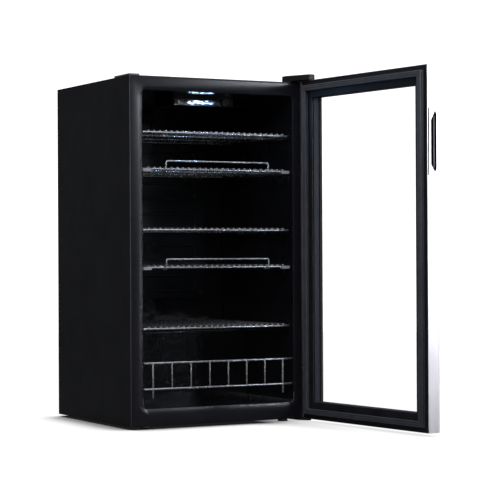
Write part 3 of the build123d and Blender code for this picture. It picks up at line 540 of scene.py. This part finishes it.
def finish_node(node, material, rounding):
    """Gives a CAD node its material and softly rounded, evenly shaded edges."""
    o = NODES[node]
    mesh = o.data
    mesh.materials.clear()
    mesh.materials.append(material)
    if "custom_normal" in mesh.attributes:
        mesh.attributes.remove(mesh.attributes["custom_normal"])
    weld = o.modifiers.new("weld", "WELD")
    weld.merge_threshold = WELD_REACH
    if rounding:
        mesh.shade_smooth()
        bevel = o.modifiers.new("edge", "BEVEL")
        bevel.width = rounding * MM
        bevel.segments = 2
        bevel.limit_method = "ANGLE"
        bevel.angle_limit = EDGE_ANGLE
        bevel.use_clamp_overlap = True
        normals = o.modifiers.new("normals", "WEIGHTED_NORMAL")
        normals.weight = FACE_WEIGHT


for name, (material, rounding) in FINISH.items():
    finish_node(name, material, rounding)


# ------------------------------------------------------------ mesh builders


def arc_path(points, bend, steps, closed=False):
    """A row of points with its corners rounded to the bend radius."""
    pts = [Vector(p) for p in points]
    count = len(pts)
    path = []
    for i, p in enumerate(pts):
        if not closed and i in (0, count - 1):
            path.append(p)
            continue
        a = (pts[i - 1] - p).normalized()
        b = (pts[(i + 1) % count] - p).normalized()
        half = a.angle(b) / 2
        reach = bend / math.tan(half)
        start, end = p + a * reach, p + b * reach
        centre = p + (a + b).normalized() * (bend / math.sin(half))
        first, last = start - centre, end - centre
        turn = first.angle(last)
        for k in range(steps + 1):
            t = k / steps
            left = math.sin((1 - t) * turn) / math.sin(turn)
            right = math.sin(t * turn) / math.sin(turn)
            path.append(centre + first * left + last * right)
    return path


def skin(bm, low, high):
    """Adds the faces between two rings of vertices."""
    count = len(low)
    for k in range(count):
        n = (k + 1) % count
        bm.faces.new((low[k], low[n], high[n], high[k]))


def door_vertex(bm, p):
    """Adds a vertex of the open door, from its place in millimetres on the closed one."""
    return bm.verts.new((OPEN_DOOR @ Vector(p)) * MM)


# Rounding of a wire's end: distance from the tip and width, as shares of the radius
DOME = ((0.0, 0.3), (0.12, 0.66), (0.42, 0.92), (0.8, 1.0))


def add_tube(bm, path, r, sides, closed=False):
    """Adds a round wire along a path, with softly rounded ends, in millimetres."""
    path = [Vector(p) for p in path]
    count = len(path)
    rings = []
    tangent = (path[1] - path[0]).normalized()
    side = tangent.orthogonal().normalized()
    for i, p in enumerate(path):
        if closed:
            new = (path[(i + 1) % count] - path[i - 1]).normalized()
        else:
            new = (path[min(i + 1, count - 1)] - path[max(i - 1, 0)]).normalized()
        side = (side - new * side.dot(new)).normalized()
        up = new.cross(side)
        shapes = [(p, r)]
        if not closed and i == 0:
            shapes = [(p + new * back * r, wide * r) for back, wide in DOME]
        elif not closed and i == count - 1:
            shapes = [(p - new * back * r, wide * r) for back, wide in reversed(DOME)]
        for centre, radius in shapes:
            ring = []
            for k in range(sides):
                angle = 2 * math.pi * k / sides
                at = centre + (side * math.cos(angle) + up * math.sin(angle)) * radius
                ring.append(bm.verts.new(at * MM))
            rings.append(ring)
    for low, high in zip(rings, rings[1:]):
        skin(bm, low, high)
    if closed:
        skin(bm, rings[-1], rings[0])
    else:
        bm.faces.new(rings[0][::-1])
        bm.faces.new(rings[-1])


def detail_object(bm, name, material, body, sharp=50.0):
    """Finishes a new piece: its material, its shading and the body that it rides."""
    bmesh.ops.recalc_face_normals(bm, faces=bm.faces)
    mesh = bpy.data.meshes.new(name)
    bm.to_mesh(mesh)
    bm.free()
    mesh.materials.append(material)
    mesh.shade_smooth()
    mesh.set_sharp_from_angle(angle=math.radians(sharp))
    o = bpy.data.objects.new(name, mesh)
    bpy.context.scene.collection.objects.link(o)
    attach(o, body)
    return o


def to_object(bm, name, material, node, body, sharp=50.0):
    """Finishes a new piece that also stands in for a CAD node."""
    o = detail_object(bm, name, material, body, sharp)
    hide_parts(node)
    return o


# ------------------------------------------------------------ shelves and rails


def shelf_piece(number, z):
    """One wire shelf: rounded frame, two cross wires and the fine grid, whose front ends are
    painted bright with a duller copy of the chrome.
    """
    bm = bmesh.new()
    y0, y1 = SHELF_Y
    x = SHELF_X
    corners = [(-x, y0, z), (x, y0, z), (x, y1, z), (-x, y1, z)]
    add_tube(bm, arc_path(corners, SHELF_BEND, 6, closed=True), SHELF_R, 18, closed=True)
    for y in CROSS_Y:
        add_tube(bm, [(-x, y, z + CROSS_UP), (x, y, z + CROSS_UP)], CROSS_R, 14)
    grid_z = z + GRID_UP
    front = y0 - GRID_PAST[0]
    stops = (front, front + GLINT_END, y1 + GRID_PAST[1])
    for i in range(GRID_COUNT):
        gx = (i - (GRID_COUNT - 1) / 2) * GRID_PITCH
        add_tube(bm, [(gx, y, grid_z) for y in stops], GRID_R, 12)
    # Front tips of the grid wires take the glint copy: painted highlight
    for face in bm.faces:
        middle = face.calc_center_median() / MM
        if middle.y < front + GLINT_END + 0.4 and middle.z > z + SHELF_R + 0.1:
            face.material_index = 1
    o = to_object(bm, f"shelf_{number}_wires", CHROME, f"shelf_{number}", f"shelf_{number}")
    o.data.materials.append(WIRE_END_GLINT)


def guard_piece(number, z):
    """Bent wire guard that stands up in front of a shelf."""
    bm = bmesh.new()
    low, top = z - GUARD_DROP, z + GUARD_H
    right = [(GUARD_X, GUARD_TAIL_Y, low), (GUARD_X, GUARD_Y, low), (GUARD_X, GUARD_Y, top)]
    left = [(-px, py, pz) for px, py, pz in right]
    add_tube(bm, arc_path(left + right[::-1], GUARD_BEND, 7), GUARD_R, 16)
    node = f"shelf_{number}_guard"
    to_object(bm, f"{node}_wire", CHROME, node, f"shelf_{number}")


def rail_piece():
    """Bottle guard: two rails and a row of uprights, the outer two thicker and longer."""
    bm = bmesh.new()
    low, high = RAIL_Z
    for z in RAIL_Z:
        add_tube(bm, [(-RAIL_X, RAIL_Y, z), (RAIL_X, RAIL_Y, z)], RAIL_R, 18)
    for i in range(POST_COUNT):
        px = (i - (POST_COUNT - 1) / 2) * POST_PITCH
        outer = i in (0, POST_COUNT - 1)
        foot = low - POST_LEG if outer else low
        add_tube(bm, [(px, RAIL_Y, foot), (px, RAIL_Y, high)], RAIL_R if outer else POST_R, 14)
    to_object(bm, "bottle_guard_wires", CHROME, "bottle_guard", "cabinet")


for number, level in enumerate(SHELF_Z, 1):
    shelf_piece(number, level)
    if number in GUARDED:
        guard_piece(number, level)
rail_piece()


# ------------------------------------------------------------ gasket and bead

# Section of the seal: distance in from the door's edge, height off the door
GASKET_SECTION = (
    (12.2, 0.1), (12.0, 2.4), (12.6, 3.2), (14.4, 3.7), (14.3, 4.3), (13.3, 4.6),
    (12.7, 5.3), (12.5, 6.6), (12.6, 8.8), (13.1, 9.9), (14.3, 10.3), (15.6, 10.2),
    (16.2, 9.5), (16.8, 10.1), (19.5, 9.9), (22.0, 10.1), (22.6, 9.5), (23.2, 10.2),
    (24.6, 10.3), (25.8, 9.9), (26.4, 8.8), (26.5, 6.6), (26.1, 5.3), (24.8, 4.6),
    (22.8, 4.3), (22.7, 3.7), (24.4, 3.2), (24.9, 2.4), (24.8, 0.1),
)

# Section of the glazing bead, on the pane's side of the door frame
BEAD_SECTION = ((41.8, -24.1), (43.0, -24.1), (43.3, -25.0), (42.9, -31.4), (41.8, -31.8))


def mitred_ring(section):
    """A section carried round the door with mitred corners."""
    bm = bmesh.new()
    loops = []
    for inset, height in section:
        x = HALF_W - inset
        z0, z1 = DOOR_Z[0] + inset, DOOR_Z[1] - inset
        y = DOOR_IN_Y + height
        loop = [(-x, y, z0), (x, y, z0), (x, y, z1), (-x, y, z1)]
        loops.append([door_vertex(bm, p) for p in loop])
    for inner, outer in zip(loops, loops[1:] + loops[:1]):
        skin(bm, inner, outer)
    return bm


# Magnetic seal with a bellows neck, and the black bead beside the outer pane
to_object(mitred_ring(GASKET_SECTION), "gasket_seal", GASKET, "gasket", "door", 55.0)
detail_object(mitred_ring(BEAD_SECTION), "glazing_bead", RUBBER, "door")


# ------------------------------------------------------------ cabinet edges


def cabinet_hem():
    """Rolled edges of the cabinet sheet beside the front frame, light grey as a painted highlight
    line.
    """
    bm = bmesh.new()
    for side in (-1, 1):
        x = side * (HALF_W - 0.9)
        add_tube(bm, [(x, FRONT_Y + 0.4, z) for z in HEM_Z], HEM_R, 12)
    detail_object(bm, "cabinet_hem", EDGE_GLINT_GREY, "cabinet")


def opening_lip():
    """Thin light grey bead round the bottom of the opening, where frame and liner meet: a painted
    highlight line.
    """
    bm = bmesh.new()
    y = FRONT_Y + BEVEL_DEPTH + 0.3
    top = OPEN_Z + LIP_RISE
    corners = [(-OPEN_X, y, top), (-OPEN_X, y, OPEN_Z), (OPEN_X, y, OPEN_Z), (OPEN_X, y, top)]
    add_tube(bm, arc_path(corners, OPEN_R, 8), LIP_R, 10)
    detail_object(bm, "opening_lip", EDGE_GLINT_GREY, "cabinet")


cabinet_hem()
opening_lip()


# ------------------------------------------------------------ handle details

# Section of the grip rib: distance into the pocket, depth through the door
RIB_SECTION = (
    (6.3, 27.0), (6.3, 26.5), (7.1, 25.8), (8.5, 25.4), (9.9, 25.8), (10.7, 26.5), (10.7, 27.0),
)
RIB_MIDDLE = 8.5
RIB_BACK = 27.0

# Heights along the rib, with the share of its full section there
RIB_LEVELS = ((608.0, 0.4), (610.0, 0.8), (614.0, 1.0), (723.0, 1.0), (727.0, 0.8), (729.0, 0.4))


def handle_gap_shade():
    """Dark strip round the handle plate, wider on the cabinet side: painted shade for the gap at
    its edges.
    """
    bm = bmesh.new()
    x0, x1 = -HALF_W - 0.12, -HALF_W - 0.02
    near, far = (DOOR_IN_Y - depth for depth in PLATE_DEPTH)
    low, high = PLATE_Z
    strips = (
        (near - 0.1, near + 3.1, low - 0.4, high + 0.4),
        (far, near, low - 0.7, low + 0.1),
        (far, near, high - 0.1, high + 0.7),
    )
    for y0, y1, z0, z1 in strips:
        around = ((y0, z0), (y1, z0), (y1, z1), (y0, z1))
        corners = [(x, y, z) for x in (x0, x1) for y, z in around]
        v = [door_vertex(bm, p) for p in corners]
        bm.faces.new(v[:4])
        bm.faces.new(v[4:][::-1])
        for k in range(4):
            n = (k + 1) % 4
            bm.faces.new((v[k], v[k + 4], v[n + 4], v[n]))
    detail_object(bm, "handle_gap_shade", GAP_SHADE_BLACK, "door")


def handle_rib():
    """Low rib down the pocket's outer wall, where fingers pull; its light grey is a painted
    highlight stripe.
    """
    bm = bmesh.new()
    rings = []
    for z, share in RIB_LEVELS:
        ring = []
        for deep, depth in RIB_SECTION:
            x = -HALF_W + RIB_MIDDLE + (deep - RIB_MIDDLE) * share
            y = DOOR_IN_Y - RIB_BACK + (RIB_BACK - depth) * share
            ring.append(door_vertex(bm, (x, y, z)))
        rings.append(ring)
    for low, high in zip(rings, rings[1:]):
        skin(bm, low, high)
    bm.faces.new(rings[0][::-1])
    bm.faces.new(rings[-1])
    detail_object(bm, "handle_rib", RIB_GLINT_GREY, "door")


handle_gap_shade()
handle_rib()


# ------------------------------------------------------------ studio


FLOOR_R = 5.0
SKY_DIM = 0.09
SKY_WHITE = 1.3

# Camera: place in metres, then yaw, pitch and roll in degrees, then lens and sensor width
CAMERA_AT = (-2.03408, -4.09085, 0.41795)
CAMERA_TURN = (28.67, 0.09, -0.271)
LENS = 129.86
SENSOR = 36.0


def area_light(name, at, target, size, power, colour):
    """A soft box that points at a target."""
    data = bpy.data.lights.new(name, "AREA")
    data.shape = "RECTANGLE"
    data.size, data.size_y = size
    data.energy = power
    data.color = colour
    o = bpy.data.objects.new(name, data)
    o.location = at
    aim = Vector(target) - Vector(at)
    o.rotation_euler = aim.to_track_quat("-Z", "Y").to_euler()
    bpy.context.scene.collection.objects.link(o)


def floor():
    """A round sheet of paper under the object."""
    bm = bmesh.new()
    bmesh.ops.create_circle(bm, cap_ends=True, segments=96, radius=FLOOR_R)
    mesh = bpy.data.meshes.new("studio_floor")
    bm.to_mesh(mesh)
    bm.free()
    mesh.materials.append(studio_floor())
    o = bpy.data.objects.new("studio_floor", mesh)
    bpy.context.scene.collection.objects.link(o)


def backdrop_light():
    """White surroundings for the eye and for glass, dimmer ones for reflections."""
    world = bpy.data.worlds.new("studio")
    bpy.context.scene.world = world
    world.use_nodes = True
    tree = world.node_tree
    tree.nodes.clear()
    out = tree.nodes.new("ShaderNodeOutputWorld")
    path = tree.nodes.new("ShaderNodeLightPath")
    seen = tree.nodes.new("ShaderNodeMath")
    seen.operation = "MAXIMUM"
    tree.links.new(path.outputs["Is Camera Ray"], seen.inputs[0])
    tree.links.new(path.outputs["Is Transmission Ray"], seen.inputs[1])
    mix = tree.nodes.new("ShaderNodeMixShader")
    dim = tree.nodes.new("ShaderNodeBackground")
    dim.inputs["Color"].default_value = (0.9, 0.93, 1.0, 1)
    dim.inputs["Strength"].default_value = SKY_DIM
    white = tree.nodes.new("ShaderNodeBackground")
    white.inputs["Color"].default_value = (1, 1, 1, 1)
    white.inputs["Strength"].default_value = SKY_WHITE
    tree.links.new(seen.outputs["Value"], mix.inputs["Fac"])
    tree.links.new(dim.outputs["Background"], mix.inputs[1])
    tree.links.new(white.outputs["Background"], mix.inputs[2])
    tree.links.new(mix.outputs["Shader"], out.inputs["Surface"])


def camera():
    """Camera at eye level with the middle of the cabinet, to its front left."""
    yaw, pitch, roll = (math.radians(v) for v in CAMERA_TURN)
    level = Vector((math.sin(yaw), math.cos(yaw), 0))
    ahead = level * math.cos(pitch) + Vector((0, 0, math.sin(pitch)))
    right = Vector((math.cos(yaw), -math.sin(yaw), 0))
    up = right.cross(ahead)
    x = right * math.cos(roll) + up * math.sin(roll)
    y = up * math.cos(roll) - right * math.sin(roll)
    data = bpy.data.cameras.new("camera")
    data.sensor_width = SENSOR
    data.lens = LENS
    o = bpy.data.objects.new("camera", data)
    o.matrix_world = Matrix.Translation(CAMERA_AT) @ Matrix(
        (
            (x.x, y.x, -ahead.x, 0),
            (x.y, y.y, -ahead.y, 0),
            (x.z, y.z, -ahead.z, 0),
            (0, 0, 0, 1),
        )
    )
    bpy.context.scene.collection.objects.link(o)
    bpy.context.scene.camera = o


# Light: place, target, size in metres, power in watts, colour
LIGHTS = {
    "key": ((-1.2, -3.4, 2.9), (0.1, -0.3, 0.4), (2.4, 1.6), 60, (0.95, 0.97, 1.0)),
    "top": ((0.3, -0.4, 3.0), (0.1, -0.3, 0.0), (2.6, 2.6), 60, (0.95, 0.97, 1.0)),
    "front_right": ((2.5, -4.1, 1.36), (0.1, -0.2, 0.8), (0.6, 0.3), 22, (0.84, 0.90, 1.0)),
    "door_edge": ((2.5, -2.8, 0.52), (0.3, -0.7, 0.34), (0.6, 3.0), 37, (0.96, 0.95, 1.0)),
    "edge_left": ((-3.2, -1.6, 1.0), (-0.2, -0.2, 0.45), (0.5, 2.0), 14, (0.92, 0.95, 1.0)),
    "rear_fill": ((0.9, 3.4, 0.78), (0.0, 0.2, 0.4), (1.8, 1.3), 60, (0.96, 0.97, 1.0)),
    "cavity_lamp": (
        (-0.004, -0.129, 0.79), (-0.004, -0.2, 0.6), (0.07, 0.006), 0.25, (0.35, 0.6, 1.0),
    ),
}

floor()
backdrop_light()
camera()
bpy.context.scene.view_settings.view_transform = "Standard"
for name, (at, target, size, power, colour) in LIGHTS.items():
    area_light(name, at, target, size, power, colour)
